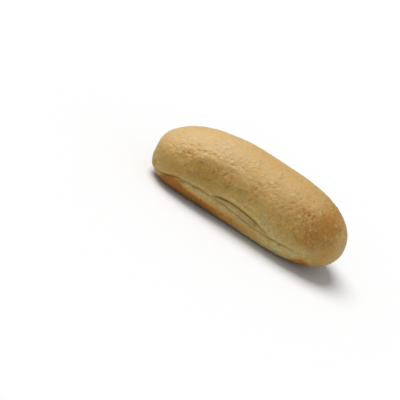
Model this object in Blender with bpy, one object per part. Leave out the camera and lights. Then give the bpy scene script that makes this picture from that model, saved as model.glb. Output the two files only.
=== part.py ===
"""A bratwurst bun: one soft, uncut bread roll that lies on its flat baked base.

Run with: blender --background --python part.py
Metres, +Z up. The origin is the middle of the base, +X runs along the bun,
and the side with the long open seam faces -Y.
"""

import math

import bmesh
import bpy
import numpy as np
from mathutils import Matrix, Vector, noise

# ---- Overall size, in metres ----
LENGTH = 0.160
WIDTH = 0.0711
HEIGHT = 0.0538
WAIST = 0.0227            # height of the widest line above the base
BASE_CUT = 0.0012         # how much of the round underside the flat base takes off
BEND = 0.0071             # how far the middle sways towards +Y

# ---- Roundness: 2 is an ellipse, a higher number is fuller and blunter ----
PLAN_LEFT = 4.1           # the ends seen from above, at -X and at +X
PLAN_RIGHT = 3.7
CROWN_LEFT = 2.6          # the ends of the top line seen from the side
CROWN_RIGHT = 5.3
UNDER_LEFT = 11.3         # the ends of the base line seen from the side
UNDER_RIGHT = 3.7
SECTION_TOP = 1.94        # the cross-section above and below the waist
SECTION_BASE = 3.8
ARCH = 0.124              # share of its height that the top line loses at the ends
ARCH_AT = -0.19           # where the top line is highest, -1 to 1 along the bun

# ---- The open seam along the front wall ----
SEAM_HEIGHT = 0.0142
SEAM_WAVE = 0.0018        # the seam waves up and down by this
SEAM_WAVE_LENGTH = 0.092
SEAM_CREST_X = -0.022
SEAM_START_X = -0.071
SEAM_END_X = 0.054
SEAM_FADE = 0.009
SEAM_DEPTH = 0.0011
SEAM_HALF_WIDTH = 0.0010
SEAM_DROP = 0.0060        # the seam sinks towards the left end
SEAM_DROP_X = -0.0475
SEAM_DROP_RUN = 0.022
SEAM_FALL = 0.0011        # and a little towards the right end
SEAM_FALL_X = 0.038
SEAM_FALL_RUN = 0.016
SEAM_UNEVEN = 0.35        # share of its depth that it loses in its shallow places
SEAM_UNEVEN_LENGTH = 0.021
SEAM_DEEP_X = -0.031
SEAM_NICK_X = -0.0195     # where the lip parts from the seam
SEAM_NICK = 0.0008
SEAM_NICK_HALF = 0.0022
BAND_RECESS = 0.0007      # the pale band under the seam lies this far back
BAND_HEIGHT = 0.0075

# ---- The torn lip above the seam, with a scooped strip under it ----
LIP_START_X = -0.0205
LIP_END_X = 0.033
LIP_ROUNDNESS = 0.62      # below 1 the lip rises faster at its ends
LIP_RISE = 0.0060
LIP_DEPTH = 0.0012
LIP_HALF_WIDTH = 0.0010
LIP_BULGE = 0.0005
LIP_BULGE_HEIGHT = 0.0050
STRIP_RECESS = 0.0018
STEP_HEIGHT = 0.0010      # height over which the lip turns into the strip
TEAR_START_RUN = 0.004    # the tear opens over this length, and closes from TEAR_END_X back
TEAR_END_X = 0.027
TEAR_END_RUN = 0.015

# ---- The shallow seam along the back wall ----
BACK_SEAM_HEIGHT = 0.0142
BACK_SEAM_WAVE = 0.0013
BACK_SEAM_WAVE_LENGTH = 0.105
BACK_SEAM_CREST_X = 0.012
BACK_SEAM_DEPTH = 0.0009
BACK_SEAM_WANDER = 0.0004
BACK_SEAM_WANDER_LENGTH = 0.023
# It runs in strokes that miss each other a little: x and level at the two ends of each
BACK_STROKES = (
    (-0.058, 0.0120, -0.010, 0.0144),
    (-0.019, 0.0161, 0.029, 0.0156),
    (0.021, 0.0137, 0.060, 0.0158),
)

# ---- Dents in the crust: x, height, half length, half height, depth ----
FRONT_DENTS = (
    (-0.047, 0.0285, 0.0150, 0.0055, 0.0010),
    (-0.022, 0.0270, 0.0110, 0.0045, 0.0006),
    (0.050, 0.0360, 0.0120, 0.0060, 0.0005),
)
BACK_DENTS = (
    (0.030, 0.0300, 0.0160, 0.0060, 0.0008),
    (-0.038, 0.0330, 0.0130, 0.0060, 0.0006),
)

# ---- The soft fold that ends the top crust on the front left ----
FOLD_LEVEL = 0.0402
FOLD_FALL = 0.0095        # how far its edge falls away towards the left
FOLD_FALL_POWER = 3.5     # slowly at first
FOLD_TURN_X = -0.018
FOLD_REACH = 0.028
FOLD_REACHES = 1.2        # over this many times its reach, and no further
FOLD_START_X = -0.053
FOLD_END_X = -0.002
FOLD_FADE = 0.012
FOLD_DEPTH = 0.0006
FOLD_RUN = 0.0030
FOLD_RECOVERY = 0.0105

# ---- The puckered knots where the seam turns round the ends ----
# Each swell or pit: x, y, height, half width, half height, lift, sharpness of its edge
KNOTS = (
    (-0.0757, -0.0140, 0.0100, 0.0048, 0.0068, 0.0008, 4.0),
    (-0.0748, -0.0120, 0.0190, 0.0046, 0.0052, 0.0006, 4.0),
    (-0.0722, -0.0186, 0.0094, 0.0024, 0.0032, -0.0018, 2.0),
    (0.0765, 0.0140, 0.0160, 0.0040, 0.0066, 0.0005, 4.0),
    (0.0765, 0.0140, 0.0160, 0.0015, 0.0028, -0.0012, 2.0),
)

# ---- Slow swells of the crust, which die out towards the flat base ----
CALM_HEIGHT = 0.003
SWELL_LENGTH = 0.030
SWELL = 0.0005
RIPPLE_LENGTH = 0.011
RIPPLE = 0.00022

# ---- Mesh: rings along the bun, rows round it ----
RINGS = 98
RING_EVENNESS = 0.3       # draws the rings from the ends towards the middle
TOP_ROWS = 24
LIP_ROWS = 4
STRIP_ROWS = 7
BAND_ROWS = 4
RIM_ROWS = 4
BASE_ROWS = 4
BACK_RIM_ROWS = 4
BACK_SEAM_ROWS = 3
BACK_WALL_ROWS = 2
SEAM_MARGIN = 0.0030      # the close rows reach this far above and below a seam
STRIP_ROWS_MIN = 0.0030   # the strip's rows never crowd closer than this in all
BASE_EDGE_MIN = 0.30      # keeps the base rows apart near the ends, share of half width
WALL_REACH = 0.99         # the rows of the walls stay inside this share of the section's height

CRUST_COLOUR = (0.48, 0.29, 0.12, 1.0)
CRUST_ROUGHNESS = 0.55


def smooth(t):
    """Ease from 0 to 1."""
    t = np.clip(t, 0.0, 1.0)
    return t * t * (3.0 - 2.0 * t)


def end_profile(u, left, right):
    """Fall from 1 to 0 at both ends, u from -1 to 1 along the bun."""
    power = np.where(u < 0.0, left, right)
    return np.sqrt(np.clip(1.0 - np.abs(u) ** power, 0.0, 1.0))


def half_width(u):
    return WIDTH / 2 * end_profile(u, PLAN_LEFT, PLAN_RIGHT)


def rise(u):
    """Height of the crown above the waist."""
    arch = 1.0 - ARCH * (u - ARCH_AT) ** 2
    return (HEIGHT - WAIST) * end_profile(u, CROWN_LEFT, CROWN_RIGHT) * arch


def depth(u):
    """Depth of the round underside below the waist, before the flat base cuts it."""
    return (WAIST + BASE_CUT) * end_profile(u, UNDER_LEFT, UNDER_RIGHT)


def sway(u):
    return BEND * (1.0 - u ** 2)


def section_point(u, angle):
    """Point of the smooth bun, at an angle of 0 at the back, 90 on top, 180 in front."""
    across = np.cos(angle)
    up = np.sin(angle)
    reach = np.where(up > 0.0, rise(u), depth(u))
    power = np.where(up > 0.0, SECTION_TOP, SECTION_BASE)
    wide = np.abs(across) / np.maximum(half_width(u), 1e-9)
    high = np.abs(up) / np.maximum(reach, 1e-9)
    radius = (wide ** power + high ** power) ** (-1.0 / power)
    y = sway(u) + radius * across
    z = np.maximum(WAIST + radius * up, 0.0)
    return y, z


def angle_at(u, height, side):
    """Angle of the wall at a height, side -1 in front and +1 at the back.

    The height is that of the full section: it closes in on the waist towards the ends.
    """
    above = height > WAIST
    full = np.where(above, HEIGHT - WAIST, WAIST + BASE_CUT)
    here = np.where(above, rise(u), depth(u))
    power = np.where(above, SECTION_TOP, SECTION_BASE)
    share = np.clip((height - WAIST) / full, -WALL_REACH, WALL_REACH)
    y = side * half_width(u) * (1.0 - np.abs(share) ** power) ** (1.0 / power)
    angle = np.arctan2(share * here, y)
    return np.where(angle < 0.0, angle + 2.0 * math.pi, angle)


def base_edge_angle(u, side):
    """Angle at which the wall turns into the flat base."""
    share = np.clip(WAIST / np.maximum(depth(u), 1e-9), 0.0, 1.0)
    edge = np.maximum((1.0 - share ** SECTION_BASE) ** (1.0 / SECTION_BASE), BASE_EDGE_MIN)
    low = np.minimum(WAIST, depth(u))
    angle = np.arctan2(-np.maximum(low, 1e-9), side * np.maximum(edge * half_width(u), 1e-9))
    return angle + 2.0 * math.pi


def seam_level(x):
    wave = SEAM_WAVE * np.cos(2.0 * math.pi * (x - SEAM_CREST_X) / SEAM_WAVE_LENGTH)
    drop = SEAM_DROP * smooth((SEAM_DROP_X - x) / SEAM_DROP_RUN)
    fall = SEAM_FALL * smooth((x - SEAM_FALL_X) / SEAM_FALL_RUN)
    return SEAM_HEIGHT + wave - drop - fall


def lip_share(x):
    """0 outside the torn lip, 1 at its middle."""
    t = np.clip((x - LIP_START_X) / (LIP_END_X - LIP_START_X), 0.0, 1.0)
    return np.sin(math.pi * t) ** LIP_ROUNDNESS


def lip_level(x):
    return seam_level(x) + LIP_RISE * lip_share(x)


def back_seam_level(x):
    """The line along which the rows crowd at the back."""
    turn = 2.0 * math.pi * (x - BACK_SEAM_CREST_X) / BACK_SEAM_WAVE_LENGTH
    return BACK_SEAM_HEIGHT + BACK_SEAM_WAVE * np.cos(turn)


def stretch(x, start, end):
    """1 along a seam, easing to 0 at its two ends."""
    return smooth((x - start) / SEAM_FADE) * smooth((end - x) / SEAM_FADE)


def groove(offset, half):
    return np.exp(-(offset / half) ** 2)


def row_angle(u, row):
    """Angle of a row: the rows crowd along the two seams and follow them."""
    x = LENGTH / 2 * u
    strip_top = seam_level(x) + np.maximum(LIP_RISE * lip_share(x), STRIP_ROWS_MIN)
    back = back_seam_level(x)
    turn = np.zeros_like(u)
    stretches = (
        (TOP_ROWS, angle_at(u, strip_top + SEAM_MARGIN, -1)),
        (LIP_ROWS, angle_at(u, strip_top, -1)),
        (STRIP_ROWS, angle_at(u, seam_level(x), -1)),
        (BAND_ROWS, angle_at(u, seam_level(x) - SEAM_MARGIN, -1)),
        (RIM_ROWS, base_edge_angle(u, -1)),
        (BASE_ROWS, base_edge_angle(u, 1)),
        (BACK_RIM_ROWS, angle_at(u, back - SEAM_MARGIN, 1)),
        (BACK_SEAM_ROWS, angle_at(u, back, 1)),
        (BACK_SEAM_ROWS, angle_at(u, back + SEAM_MARGIN, 1)),
        (BACK_WALL_ROWS, np.full_like(u, 2.0 * math.pi)),
    )
    angle = np.zeros_like(u)
    first = 0
    for rows, end_angle in stretches:
        angle += (end_angle - turn) * np.clip((row - first) / rows, 0.0, 1.0)
        turn = end_angle
        first += rows
    return angle


ROWS = (
    TOP_ROWS + LIP_ROWS + STRIP_ROWS + BAND_ROWS + RIM_ROWS + BASE_ROWS
    + BACK_RIM_ROWS + 2 * BACK_SEAM_ROWS + BACK_WALL_ROWS
)


def full_level(u, z):
    """Height that a point would have in the full middle section."""
    above = z > WAIST
    full = np.where(above, HEIGHT - WAIST, WAIST + BASE_CUT)
    here = np.where(above, rise(u), depth(u))
    return WAIST + (z - WAIST) * full / np.maximum(here, 1e-6)


def seam_line(x):
    """The middle of the seam's groove: it dips where the lip parts from it."""
    return seam_level(x) - SEAM_NICK * groove(x - SEAM_NICK_X, SEAM_NICK_HALF)


def seam_strength(x):
    turn = 2.0 * math.pi * (x - SEAM_DEEP_X) / SEAM_UNEVEN_LENGTH
    return stretch(x, SEAM_START_X, SEAM_END_X) * (1.0 - SEAM_UNEVEN * (0.5 - 0.5 * np.cos(turn)))


def tear_strength(x):
    return smooth((x - LIP_START_X) / TEAR_START_RUN) * smooth((TEAR_END_X - x) / TEAR_END_RUN)


def front_seam_relief(x, level):
    above_seam = level - seam_line(x)
    above_lip = level - lip_level(x)
    along = stretch(x, SEAM_START_X, SEAM_END_X)
    lip = lip_share(x)
    seam = -SEAM_DEPTH * groove(above_seam, SEAM_HALF_WIDTH) * seam_strength(x)
    band = -BAND_RECESS * smooth(1.0 + above_seam / BAND_HEIGHT) * (above_seam < 0.0)
    tear = -LIP_DEPTH * groove(above_lip, LIP_HALF_WIDTH) * tear_strength(x)
    strip_share = np.clip(above_seam / np.maximum(LIP_RISE * lip, 1e-6), 0.0, 1.0)
    strip = -STRIP_RECESS * lip * strip_share * smooth(0.5 - above_lip / STEP_HEIGHT)
    bulge = LIP_BULGE * np.exp(-np.abs(above_lip) / LIP_BULGE_HEIGHT) * (above_lip > 0.0)
    return along * (band + bulge) + seam + tear + strip


def back_seam_relief(x, level):
    wander = BACK_SEAM_WANDER * np.sin(2.0 * math.pi * x / BACK_SEAM_WANDER_LENGTH)
    total = np.zeros_like(x)
    for start, start_level, end, end_level in BACK_STROKES:
        line = start_level + (end_level - start_level) * (x - start) / (end - start) + wander
        stroke = -BACK_SEAM_DEPTH * groove(level - line, SEAM_HALF_WIDTH) * stretch(x, start, end)
        total = np.minimum(total, stroke)
    return total


def fold_relief(x, level):
    """A soft trough under the edge of the top crust: steep under the edge, slow to recover below."""
    turned = np.clip((FOLD_TURN_X - x) / FOLD_REACH, 0.0, FOLD_REACHES)
    edge = FOLD_LEVEL - FOLD_FALL * turned ** FOLD_FALL_POWER
    below = edge - level
    along = smooth((x - FOLD_START_X) / FOLD_FADE) * smooth((FOLD_END_X - x) / FOLD_FADE)
    return -FOLD_DEPTH * smooth(below / FOLD_RUN) * np.exp(-(below / FOLD_RECOVERY) ** 2) * along


def dent_relief(x, z, dents):
    total = np.zeros_like(x)
    for dent_x, dent_z, half_length, half_height, sink in dents:
        total -= sink * np.exp(-((x - dent_x) / half_length) ** 2 - ((z - dent_z) / half_height) ** 2)
    return total


def knot_relief(points):
    total = np.zeros(len(points))
    for x, y, z, half_width, half_height, lift, edge in KNOTS:
        offset = (points - np.array((x, y, z))) / np.array((half_width, half_width, half_height))
        total += lift * np.exp(-np.linalg.norm(offset, axis=1) ** edge)
    return total


def swell_relief(points):
    swell = [noise.noise(Vector(p) / SWELL_LENGTH) for p in points]
    ripple = [noise.noise(Vector(p) / RIPPLE_LENGTH) for p in points]
    return SWELL * np.array(swell) + RIPPLE * np.array(ripple)


def relief(u, points):
    """How far each point of the smooth bun moves out along its normal."""
    x, y, z = points.T
    level = full_level(u, z)
    front = front_seam_relief(x, level) + fold_relief(x, level) + dent_relief(x, z, FRONT_DENTS)
    back = back_seam_relief(x, level) + dent_relief(x, z, BACK_DENTS)
    side = np.where(y < sway(u), front, back)
    return (side + knot_relief(points) + swell_relief(points)) * smooth(z / CALM_HEIGHT)


def make_crust_material():
    material = bpy.data.materials.new("crust")
    material.use_nodes = True
    shader = material.node_tree.nodes["Principled BSDF"]
    shader.inputs["Base Color"].default_value = CRUST_COLOUR
    shader.inputs["Roughness"].default_value = CRUST_ROUGHNESS
    shader.inputs["Metallic"].default_value = 0.0
    material.diffuse_color = CRUST_COLOUR
    return material


def make_bun(collection):
    """Draw a sphere out into the bun, then press the seams, dents and swells into it."""
    bm = bmesh.new()
    lying = Matrix.Rotation(math.radians(90.0), 4, "Y")
    bmesh.ops.create_uvsphere(bm, u_segments=ROWS, v_segments=RINGS, radius=1.0, matrix=lying)

    on_sphere = np.array([vertex.co for vertex in bm.verts])
    u = np.clip(on_sphere[:, 0], -1.0, 1.0)
    u = u - RING_EVENNESS * u * (1.0 - u ** 2)
    turn = np.arctan2(on_sphere[:, 2], on_sphere[:, 1]) / (2.0 * math.pi)
    row = np.mod(np.rint(turn * ROWS), ROWS)
    y, z = section_point(u, row_angle(u, row))
    points = np.column_stack((LENGTH / 2 * u, y, z))
    for vertex, point in zip(bm.verts, points):
        vertex.co = point

    bm.normal_update()
    normals = np.array([vertex.normal for vertex in bm.verts])
    points += normals * relief(u, points)[:, None]
    points[:, 2] = np.maximum(points[:, 2], 0.0)
    middle = (points.min(axis=0) + points.max(axis=0)) / 2
    points[:, :2] -= middle[:2]
    for vertex, point in zip(bm.verts, points):
        vertex.co = point
    bmesh.ops.triangulate(bm, faces=bm.faces, quad_method="FIXED")

    mesh = bpy.data.meshes.new("bratwurst_bun")
    bm.to_mesh(mesh)
    bm.free()
    mesh.shade_smooth()
    mesh.materials.append(make_crust_material())
    bun = bpy.data.objects.new("bratwurst_bun", mesh)
    collection.objects.link(bun)
    return bun


def main():
    for old in list(bpy.data.objects):
        bpy.data.objects.remove(old, do_unlink=True)
    collection = bpy.data.collections.new("bratwurst bun")
    bpy.context.scene.collection.children.link(collection)
    make_bun(collection)


main()
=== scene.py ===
"""The looks of the bratwurst bun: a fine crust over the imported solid, its colours, light and camera.

Metres, +Z up. u runs from -1 to 1 along the bun, and x is the same place in metres.
A level is the height that a point would have in the full middle section.
The front is the side with the long open seam, at -Y.
"""

import math

import bmesh
import bpy
import numpy as np
from mathutils import Matrix, Vector, noise


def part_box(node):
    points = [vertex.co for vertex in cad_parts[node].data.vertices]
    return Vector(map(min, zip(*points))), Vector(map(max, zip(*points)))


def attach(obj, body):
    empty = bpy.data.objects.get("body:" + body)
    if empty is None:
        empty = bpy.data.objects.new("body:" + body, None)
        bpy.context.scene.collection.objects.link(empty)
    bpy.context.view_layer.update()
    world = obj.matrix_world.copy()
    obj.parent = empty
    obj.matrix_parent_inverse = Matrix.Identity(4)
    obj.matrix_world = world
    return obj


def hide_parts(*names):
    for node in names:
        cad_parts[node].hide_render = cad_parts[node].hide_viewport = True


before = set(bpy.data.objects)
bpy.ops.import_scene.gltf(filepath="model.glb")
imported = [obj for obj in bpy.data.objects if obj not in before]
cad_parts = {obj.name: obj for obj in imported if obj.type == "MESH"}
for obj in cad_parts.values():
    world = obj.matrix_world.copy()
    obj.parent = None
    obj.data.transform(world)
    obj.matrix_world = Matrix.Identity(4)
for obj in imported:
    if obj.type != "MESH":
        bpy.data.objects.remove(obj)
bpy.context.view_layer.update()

NODE = "bratwurst_bun"
LOW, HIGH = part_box(NODE)

# ---- Overall size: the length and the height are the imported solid's ----
LENGTH = HIGH.x - LOW.x
HEIGHT = HIGH.z - LOW.z
WIDTH = 0.0711
WAIST = 0.0227            # height of the widest line above the base
BASE_CUT = 0.0012         # how much of the round underside the flat base takes off
BEND = 0.0071             # how far the middle sways towards +Y

# ---- Roundness: 2 is an ellipse, a higher number is fuller and blunter ----
PLAN_LEFT = 4.1           # the ends seen from above, at -X and at +X
PLAN_RIGHT = 3.7
CROWN_LEFT = 2.6          # the ends of the top line seen from the side
CROWN_RIGHT = 5.3
UNDER_LEFT = 11.3         # the ends of the base line seen from the side
UNDER_RIGHT = 3.7
SECTION_TOP = 1.94        # the cross-section above and below the waist
SECTION_BASE = 3.8
ARCH = 0.124              # share of its height that the top line loses at the ends
ARCH_AT = -0.19           # where the top line is highest, -1 to 1 along the bun

# ---- The open seam along the front wall ----
SEAM_HEIGHT = 0.0142
SEAM_WAVE = 0.0018        # the seam waves up and down by this
SEAM_WAVE_LENGTH = 0.092
SEAM_CREST_X = -0.022
SEAM_START_X = -0.071
SEAM_END_X = 0.054
SEAM_FADE = 0.009
SEAM_DEPTH = 0.0011
SEAM_HALF_WIDTH = 0.0010
SEAM_DROP = 0.0060        # the seam sinks towards the left end
SEAM_DROP_X = -0.0475
SEAM_DROP_RUN = 0.022
SEAM_FALL = 0.0011        # and a little towards the right end
SEAM_FALL_X = 0.038
SEAM_FALL_RUN = 0.016
SEAM_UNEVEN = 0.35        # share of its depth that it loses in its shallow places
SEAM_UNEVEN_LENGTH = 0.021
SEAM_DEEP_X = -0.031
SEAM_NICK_X = -0.0195     # where the lip parts from the seam
SEAM_NICK = 0.0008
SEAM_NICK_HALF = 0.0022
SEAM_WANDER = 0.00022     # small wanderings of the seams, in front and at the back
SEAM_WANDER_LENGTH = 0.0105
BAND_RECESS = 0.0007      # the pale band under the seam lies this far back
BAND_HEIGHT = 0.0075
RIDGE_HEIGHT = 0.00060    # the plump edges above the seams and above the lip
RIDGE_OFFSET = 0.0016
RIDGE_HALF_WIDTH = 0.0009

# ---- The torn lip above the seam, with a scooped strip under it ----
LIP_START_X = -0.0205
LIP_END_X = 0.033
LIP_ROUNDNESS = 0.62      # below 1 the lip rises faster at its ends
LIP_RISE = 0.0060
LIP_DEPTH = 0.0012
LIP_HALF_WIDTH = 0.0010
LIP_BULGE = 0.0005
LIP_BULGE_HEIGHT = 0.0050
LIP_SAG = 0.0005          # how far the lip hangs over the tear
LIP_SAG_REACH = 0.0016
LIP_SAG_MARGIN = 0.00001  # so that the row of points on the lip's edge hangs too
STRIP_RECESS = 0.0018
STEP_HEIGHT = 0.0008      # height over which the lip turns into the strip
TEAR_START_RUN = 0.004    # the tear opens over this length, and closes from TEAR_END_X back
TEAR_END_X = 0.027
TEAR_END_RUN = 0.015

# ---- The shallow seam along the back wall ----
BACK_SEAM_HEIGHT = 0.0142
BACK_SEAM_WAVE = 0.0013
BACK_SEAM_WAVE_LENGTH = 0.105
BACK_SEAM_CREST_X = 0.012
BACK_SEAM_DEPTH = 0.0009
BACK_SEAM_HALF_WIDTH = 0.0008
BACK_SEAM_WANDER = 0.0004
BACK_SEAM_WANDER_LENGTH = 0.023
# It runs in strokes that miss each other a little: x and level at the two ends of each
BACK_STROKES = (
    (-0.058, 0.0120, -0.010, 0.0144),
    (-0.019, 0.0161, 0.029, 0.0156),
    (0.021, 0.0137, 0.060, 0.0158),
)

# ---- Nicks across the seam ----
# Each nick: x, level, lean from upright in degrees, half length, half width, depth
NICKS = (
    (0.0398, 0.0120, 16.0, 0.0029, 0.0005, 0.0006),
    (0.0180, 0.0166, 6.0, 0.0019, 0.0006, 0.0004),
    (-0.0450, 0.0127, 68.0, 0.0036, 0.0006, 0.0005),
    (-0.0330, 0.0160, -50.0, 0.0018, 0.0006, 0.0004),
)
NICK_BLUNTNESS = 4        # how suddenly a nick ends: 2 is soft, and a higher number is blunter

# ---- Dents in the crust: x, height, half length, half height, depth ----
FRONT_DENTS = (
    (-0.047, 0.0285, 0.0150, 0.0055, 0.0010),
    (-0.022, 0.0270, 0.0110, 0.0045, 0.0006),
    (0.050, 0.0360, 0.0120, 0.0060, 0.0005),
)
BACK_DENTS = (
    (0.030, 0.0300, 0.0160, 0.0060, 0.0008),
    (-0.038, 0.0330, 0.0130, 0.0060, 0.0006),
)

# ---- The soft fold that ends the top crust on the front left ----
FOLD_LEVEL = 0.0402
FOLD_FALL = 0.0095        # how far its edge falls away towards the left
FOLD_FALL_POWER = 3.5     # slowly at first
FOLD_TURN_X = -0.018
FOLD_REACH = 0.028
FOLD_REACHES = 1.2        # over this many times its reach, and no further
FOLD_START_X = -0.053
FOLD_END_X = -0.002
FOLD_FADE = 0.012
FOLD_WANDER = 0.0009
FOLD_WANDER_LENGTH = 0.019
FOLD_DEPTH = 0.0006
FOLD_RUN = 0.0030
FOLD_RECOVERY = 0.0105

# ---- The puckered knots where the seam turns round the ends ----
# Each swell or pit: x, y, height, half width, half height, lift, sharpness of its edge
KNOTS = (
    (-0.0757, -0.0140, 0.0100, 0.0048, 0.0068, 0.0008, 4.0),
    (-0.0748, -0.0120, 0.0190, 0.0046, 0.0052, 0.0006, 4.0),
    (-0.0722, -0.0186, 0.0094, 0.0024, 0.0032, -0.0018, 2.0),
    (-0.0697, -0.0219, 0.0092, 0.0012, 0.0042, 0.0004, 2.0),
    (-0.0681, -0.0227, 0.0152, 0.0010, 0.0010, -0.0010, 2.0),
    (0.0765, 0.0140, 0.0160, 0.0040, 0.0066, 0.0005, 4.0),
    (0.0765, 0.0140, 0.0160, 0.0015, 0.0028, -0.0012, 2.0),
)

# ---- Slow swells of the crust, which die out towards the flat base ----
CALM_HEIGHT = 0.003
SWELL_LENGTH = 0.030
SWELL = 0.0005
RIPPLE_LENGTH = 0.011
RIPPLE = 0.00022

# ---- Pebbles and grain in the crust, in uneven patches ----
PEBBLE_LENGTH = 0.0029
PEBBLE = 0.00031
GRAIN_LENGTH = 0.0015
GRAIN = 0.00028
PEBBLE_PATCH_LENGTH = 0.012
PEBBLE_PATCH_CONTRAST = 1.6
PEBBLE_LEAST = 0.5        # what is left of them between the patches
PEBBLE_BASE = 0.54        # their strength where nothing below adds to it
# Each place where they are stronger: x, level, half length, half height, strength
PEBBLED = (
    (-0.030, 0.0430, 0.028, 0.0075, 0.60),
    (-0.051, 0.0330, 0.012, 0.0080, 0.75),
    (0.056, 0.0340, 0.018, 0.0150, 0.28),
    (0.010, 0.0400, 0.022, 0.0060, 0.35),
    (0.022, 0.0260, 0.026, 0.0060, 0.40),
)

# ---- Short slanting wrinkles in the skin ----
WRINKLE_LENGTH = 0.0062
WRINKLE_WIDTH = 0.0014
WRINKLE = 0.00068
ARC_RADIUS = 0.030        # to unroll angles round the bun into lengths
# Their slant in degrees, then such places as above
WRINKLED = (
    (28.0, (
        (0.026, 0.0400, 0.014, 0.0060, 0.85),
        (-0.052, 0.0340, 0.010, 0.0060, 0.30),
        (-0.058, 0.0460, 0.012, 0.0060, 0.35),
        (0.002, 0.0300, 0.030, 0.0060, 0.35),
    )),
    (-50.0, (
        (0.053, 0.0355, 0.014, 0.0130, 0.85),
    )),
)

# ---- Single blisters and pits on the front ----
# Each: x, degrees round the section from the back over the top, radius, height
SINGLE_SPOTS = (
    (-0.0685, 165.0, 0.0009, 0.00030),
    (-0.0620, 165.0, 0.0009, 0.00030),
    (-0.0580, 151.5, 0.0009, -0.00044),
    (-0.0555, 155.5, 0.0009, 0.00032),
    (-0.0530, 159.0, 0.0010, 0.00030),
    (-0.0525, 148.0, 0.0009, -0.00044),
    (-0.0497, 137.5, 0.0009, 0.00030),
    (-0.0480, 162.5, 0.0010, 0.00040),
    (-0.0475, 143.5, 0.0011, -0.00056),
    (-0.0450, 150.0, 0.0009, -0.00048),
    (-0.0380, 161.5, 0.0015, -0.00026),
    (-0.0365, 129.5, 0.0011, -0.00034),
    (-0.0335, 141.5, 0.0009, 0.00054),
    (-0.0310, 143.0, 0.0008, 0.00050),
    (-0.0300, 159.5, 0.0009, 0.00030),
    (-0.0278, 144.8, 0.0009, 0.00056),
    (-0.0248, 130.0, 0.0009, 0.00054),
    (-0.0230, 154.5, 0.0014, -0.00036),
    (-0.0210, 139.0, 0.0009, -0.00032),
    (-0.0198, 142.0, 0.0009, 0.00062),
    (-0.0190, 161.0, 0.0009, -0.00040),
    (-0.0180, 190.0, 0.0008, 0.00040),
    (-0.0105, 148.5, 0.0009, 0.00034),
    (-0.0028, 148.0, 0.0010, 0.00034),
    (0.0038, 135.0, 0.0009, 0.00036),
    (0.0068, 149.5, 0.0011, -0.00036),
    (0.0278, 123.5, 0.0009, 0.00036),
    (0.0280, 154.5, 0.0012, -0.00040),
    (0.0298, 133.5, 0.0009, 0.00056),
    (0.0365, 151.0, 0.0009, 0.00036),
    (0.0410, 159.5, 0.0009, -0.00036),
    (0.0420, 142.0, 0.0009, -0.00034),
    (0.0450, 119.5, 0.0010, -0.00034),
    (0.0460, 128.0, 0.0009, 0.00034),
    (0.0470, 143.5, 0.0009, -0.00036),
    (0.0485, 138.5, 0.0009, 0.00036),
    (0.0535, 159.5, 0.0009, 0.00038),
    (0.0570, 160.5, 0.0009, -0.00042),
    (0.0592, 161.5, 0.0009, -0.00042),
    (0.0662, 124.0, 0.0009, 0.00036),
)

# ---- Blisters and pits strewn over the crust, most where it is pebbled ----
STREWN_SEED = 7
STREWN_TRIES = 620
STREWN_CHANCE = PEBBLE_BASE / 2  # share of the tries that is kept where nothing adds to it
STREWN_START = -0.93      # the stretch along the bun that has them, -1 to 1
STREWN_END = 0.95
STREWN_LOW_TURN = 92.0    # degrees round the section, for the front; the back mirrors it
STREWN_HIGH_TURN = 176.0
STREWN_BEHIND = 0.5       # share of them at the back
STREWN_RAISED = 0.6       # share of them that are blisters
STREWN_SMALLEST = 0.4     # height of the lowest, as a share of the highest
BLISTER_HEIGHT = 0.00026
PIT_DEPTH = 0.00026
SPOT_RADIUS_MIN = 0.0006
SPOT_RADIUS_MAX = 0.0011

# ---- How brown the crust is: 0 pale gold, 1 brown; with it go painted shade under the fold and painted highlight and shade on the small relief ----
BAKE_LEFT = 0.12
BAKE_RIGHT = 0.58
BAKE_TURN_X = -0.077
BAKE_TURN_RUN = 0.150
BAKE_BELLY = 0.67         # in front and at the back, below the top crust
BELLY_LEVEL = 0.0372
BELLY_FADE = 0.0045
BELLY_START_X = -0.064
BELLY_START_RUN = 0.034
BAKE_TIP = 0.18           # at the tip of the right end
TIP_X = 0.0695
TIP_RUN = 0.0085
FRONT_RUN = 0.024         # width over which the front's browning turns into the back's
FOLD_BAKE_AND_SHADE = 0.13          # how much darker the crust is under the fold's edge: partly browner crust, partly painted shade under the edge
# Painted highlight and shade on the small relief: how much lighter the crust is painted where it
# stands out by as much as PEBBLE, and how much browner where it lies as low, as painted shade in the
# creases and pits
PEBBLE_LIGHT_AND_SHADE = 0.17
BLISTER_HIGHLIGHT = 0.27
PIT_SHADE = 0.12
# Each browner or paler place: x, level, half length, half height, by how much
FRONT_BAKED = (
    (-0.064, 0.0430, 0.0080, 0.0060, -0.15),
    (-0.036, 0.0272, 0.0115, 0.0048, 0.19),
    (-0.026, 0.0425, 0.0080, 0.0022, 0.12),
    (-0.024, 0.0370, 0.0100, 0.0040, 0.10),
    (-0.060, 0.0185, 0.0160, 0.0075, 0.46),
    (0.006, 0.0388, 0.0070, 0.0040, 0.30),
    (0.038, 0.0428, 0.0150, 0.0042, 0.30),
    (0.017, 0.0310, 0.0060, 0.0075, -0.10),
    (0.063, 0.0414, 0.0115, 0.0182, 0.36),
    (0.067, 0.0260, 0.0060, 0.0070, -0.30),
    (0.051, 0.0350, 0.0100, 0.0100, 0.05),
    (0.056, 0.0262, 0.0085, 0.0050, 0.05),
    (-0.033, 0.0445, 0.0100, 0.0040, -0.15),
    (-0.051, 0.0385, 0.0085, 0.0045, 0.09),
    (-0.051, 0.0318, 0.0040, 0.0035, 0.20),
    (-0.039, 0.0373, 0.0040, 0.0025, -0.18),
    (-0.002, 0.0455, 0.0150, 0.0025, 0.12),
    (0.060, 0.0485, 0.0060, 0.0050, 0.15),
    (0.028, 0.0375, 0.0100, 0.0060, -0.08),
)
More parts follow.
